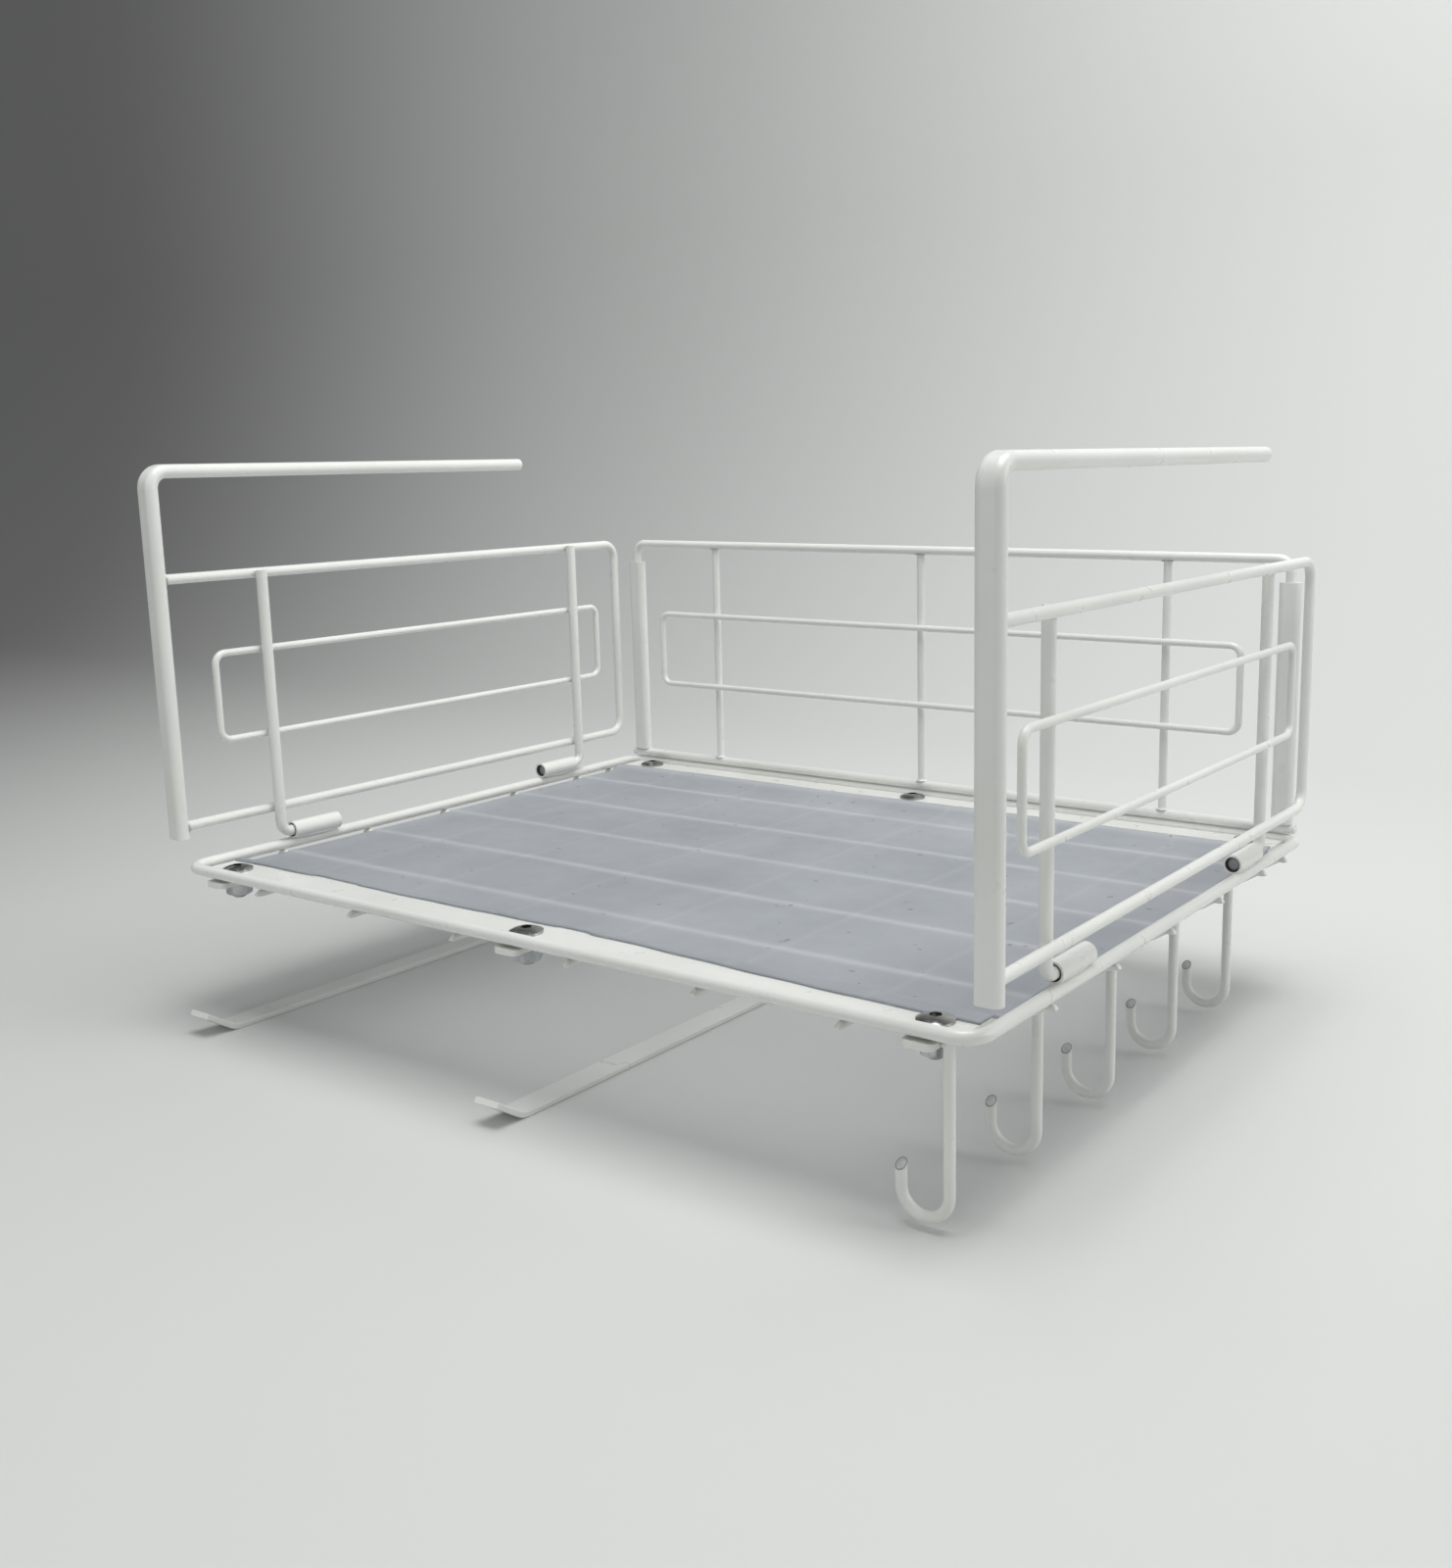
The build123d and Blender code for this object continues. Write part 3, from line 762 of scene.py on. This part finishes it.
shells = []
loop_low, loop_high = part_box("back_inner_loop")
for number in (1, 2, 3):
    low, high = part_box(f"back_upright_{number}")
    x, y = (low.x + high.x) / 2, (low.y + high.y) / 2
    shells.append(weld_collar((x, y, low.z + BUTT_LAP), (0, 0, 1), UPRIGHT_RADIUS, COLLAR_SIZE))
    shells.append(weld_collar((x, y, high.z - BUTT_LAP), (0, 0, -1), UPRIGHT_RADIUS, COLLAR_SIZE))
    for z in (loop_low.z + LOOP_RADIUS, loop_high.z - LOOP_RADIUS):
        shells.append(weld_bead((x, low.y, z), BACK_BEAD))
new_piece("back_panel_welds", *joined(shells), white_coat, "back_panel", "white_powder_coat")

# ---------------------------------------------------------------------------
# Sweep: floor and backdrop
# One pale paper sweep that curves up behind the rack, with painted shade: its colour darkens along one
# line, away from the lamps.
# ---------------------------------------------------------------------------

SWEEP_HALF = 3.0
SWEEP_FRONT = -2.5
SWEEP_BACK = 1.15
SWEEP_RADIUS = 0.55
SWEEP_HEIGHT = 2.6
SWEEP_STEPS = 24
PAPER_BRIGHT = (0.64, 0.65, 0.635, 1.0)
# painted shade: the darkest paper colour, where the lamps' light is painted as falling off
PAPER_PAINTED_SHADE = (0.31, 0.31, 0.30, 1.0)
PAINTED_SHADE_ALONG = (0.82, 0.573, 0.0)  # painted shade: the paper's colour darkens away from the lamps along this line
PAINTED_SHADE_START = -1.25
PAINTED_SHADE_STOP = -0.25
PAPER_ROUGHNESS = 0.6

angle = np.linspace(0, pi / 2, SWEEP_STEPS)
curve_y = SWEEP_BACK - SWEEP_RADIUS * (1 - np.sin(angle))
sweep_y = np.concatenate([[SWEEP_FRONT], curve_y, [SWEEP_BACK]])
sweep_z = np.concatenate([[0.0], SWEEP_RADIUS * (1 - np.cos(angle)), [SWEEP_HEIGHT]])
columns = np.array([-SWEEP_HALF, SWEEP_HALF])
columns_x = np.tile(columns, len(sweep_y))
points = np.stack([columns_x, np.repeat(sweep_y, 2), np.repeat(sweep_z, 2)], axis=-1)
sweep_mesh = bpy.data.meshes.new("sweep")
sweep_mesh.from_pydata(points.tolist(), [], grid_faces(len(sweep_y), 2, wrap=False).tolist())
sweep_mesh.polygons.foreach_set("use_smooth", [True] * len(sweep_mesh.polygons))
sweep = bpy.data.objects.new("sweep", sweep_mesh)
bpy.context.scene.collection.objects.link(sweep)
paper, paper_tree, paper_shader, link = new_material("sweep_paper")
paper_place = paper_tree.nodes.new("ShaderNodeTexCoord")
paper_line = paper_tree.nodes.new("ShaderNodeVectorMath")
paper_line.operation = "DOT_PRODUCT"
paper_line.inputs[1].default_value = PAINTED_SHADE_ALONG
link(paper_place.outputs["Object"], paper_line.inputs[0])
# painted shade: the paper's colour runs from dim to bright along the line
paper_painted_shade = paper_tree.nodes.new("ShaderNodeMapRange")
paper_painted_shade.interpolation_type = "SMOOTHSTEP"
paper_painted_shade.inputs["From Min"].default_value = PAINTED_SHADE_START
paper_painted_shade.inputs["From Max"].default_value = PAINTED_SHADE_STOP
link(paper_line.outputs["Value"], paper_painted_shade.inputs["Value"])
painted_shade_colour = blend_colours(paper_tree, paper_painted_shade.outputs["Result"], PAPER_PAINTED_SHADE, PAPER_BRIGHT, 0.0, 1.0)
link(painted_shade_colour, paper_shader.inputs["Base Color"])
paper_shader.inputs["Roughness"].default_value = PAPER_ROUGHNESS
sweep_mesh.materials.append(paper)
sweep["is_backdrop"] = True

# ---------------------------------------------------------------------------
# Light and camera
# Soft boxes overhead, at the right and in front, one more for the paper behind, and
# a weak one under the mat for the light that the mat lets through to the floor.
# ---------------------------------------------------------------------------

SKY_COLOUR = (0.95, 0.97, 1.0, 1.0)
SKY_STRENGTH = 0.26


def soft_light(name, place, target, size, power):
    """A square soft box at a place, facing a target."""
    lamp = bpy.data.lights.new(name, "AREA")
    lamp.shape = "SQUARE"
    lamp.size = size
    lamp.energy = power
    box = bpy.data.objects.new(name, lamp)
    bpy.context.scene.collection.objects.link(box)
    facing = Vector(target) - Vector(place)
    box.matrix_world = Matrix.Translation(place) @ facing.to_track_quat("-Z", "Y").to_matrix().to_4x4()
    return box


soft_light("overhead_box", (0.2, -0.1, 1.25), (0.0, -0.15, 0.0), 0.8, 12.0)
soft_light("side_box", (1.7, 0.55, 0.8), (0.0, 0.0, 0.05), 1.0, 9.5)
soft_light("front_box", (-0.5, -2.0, 0.7), (0.0, 0.0, 0.05), 1.3, 6.0)
backdrop_box = soft_light("backdrop_box", (0.1, 0.35, 1.1), (-0.2, 1.15, 0.7), 0.6, 5.0)
backdrop_box.visible_camera = False
under_mat = soft_light("light_through_mat", (0.0, 0.0, 0.057), (0.0, 0.0, 0.0), 0.27, 0.1)
under_mat.visible_camera = False
under_mat.visible_glossy = False
world = bpy.data.worlds.new("studio")
world.use_nodes = True
sky = world.node_tree.nodes["Background"]
sky.inputs["Color"].default_value = SKY_COLOUR
sky.inputs["Strength"].default_value = SKY_STRENGTH
bpy.context.scene.world = world
bpy.context.scene.view_settings.view_transform = "Standard"

CAMERA_PLACE = (0.4242, -0.5453, 0.2456)
CAMERA_TURN = radians(34.94)
CAMERA_TILT = radians(-10.68)
CAMERA_ROLL = radians(-0.91)
CAMERA_SENSOR = 36.0
CAMERA_LENS = 36.48
CAMERA_SHIFT = (-0.059, -0.0181)
CAMERA_NEAR = 0.01
camera = bpy.data.cameras.new("camera")
camera.sensor_width = CAMERA_SENSOR
camera.lens = CAMERA_LENS
camera.shift_x = CAMERA_SHIFT[0]
camera.shift_y = CAMERA_SHIFT[1]
camera.clip_start = CAMERA_NEAR
camera_object = bpy.data.objects.new("camera", camera)
bpy.context.scene.collection.objects.link(camera_object)
level = Matrix.Rotation(CAMERA_TURN, 4, "Z") @ Matrix.Rotation(pi / 2 + CAMERA_TILT, 4, "X")
roll = Matrix.Rotation(CAMERA_ROLL, 4, "Z")
camera_object.matrix_world = Matrix.Translation(CAMERA_PLACE) @ level @ roll
bpy.context.scene.camera = camera_object

low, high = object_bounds()
